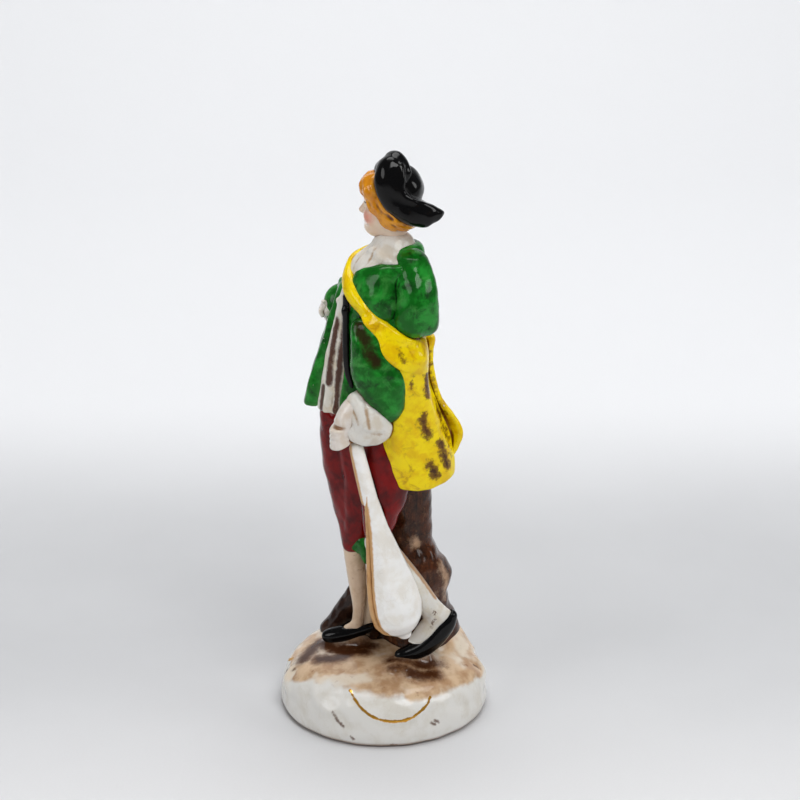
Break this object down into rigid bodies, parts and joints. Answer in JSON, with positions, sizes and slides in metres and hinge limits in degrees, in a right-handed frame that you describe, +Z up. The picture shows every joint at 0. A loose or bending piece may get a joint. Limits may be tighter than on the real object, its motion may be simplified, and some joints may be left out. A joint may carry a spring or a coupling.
{
  "type": "porcelain figurine",
  "caption": "Standing porcelain figure of a lute player in an open coat, sash and cape, before a tree trunk on a round mound with a flat foot ring.",
  "frame": {"origin": "centre of the foot ring's flat underside", "axes": "+Z up, the figure walks towards -Y and its left side is +X"},
  "size_m": [0.0541, 0.054, 0.1484],
  "materials": {
    "mound_glaze": "glazed porcelain, white below and sponged beige and brown above",
    "bark_brown": "brown overglaze enamel on a modelled trunk",
    "black": "glossy black enamel",
    "flesh_white": "glazed porcelain with a thin flesh wash",
    "white_glaze": "clear glazed white porcelain",
    "dark_red": "glossy dark red enamel",
    "green": "glossy green enamel, darker where it pools",
    "waistcoat_white": "white glaze with brown lines in its pleats",
    "skin": "glazed porcelain with a thin flesh wash",
    "yellow": "glossy yellow enamel with brown shading",
    "lute_white": "clear glazed white porcelain",
    "lute_tan": "tan wash under glaze",
    "hair_ochre": "glossy ochre enamel with brown strokes"
  },
  "bodies": {
    "root": {"base_mound": "mound_glaze", "tree_trunk": "bark_brown", "tree_root": "bark_brown", "right_shoe": "black", "left_shoe": "black", "right_stocking": "flesh_white", "left_stocking": "white_glaze", "right_breeches_leg": "dark_red", "left_breeches_leg": "dark_red", "garter_bow": "green", "waistcoat": "waistcoat_white", "coat_right_front": "green", "coat_left_front": "green", "coat_back": "green", "coat_collar": "green", "shirt_collar": "white_glaze", "right_sleeve": "green", "right_cuff": "white_glaze", "right_hand": "skin", "left_shoulder_puff": "green", "left_lower_sleeve": "green", "left_cuff": "white_glaze", "left_hand": "skin", "sash": "yellow", "black_ribbon": "black", "cape": "yellow", "cape_rear_fold": "yellow", "lute_bowl": "lute_white", "lute_soundboard": "lute_tan", "lute_neck": "lute_white", "lute_pegbox": "lute_tan", "head_and_neck": "skin", "hair": "hair_ochre", "hat_crown": "black", "hat_brim": "black"}
  },
  "joints": []
}
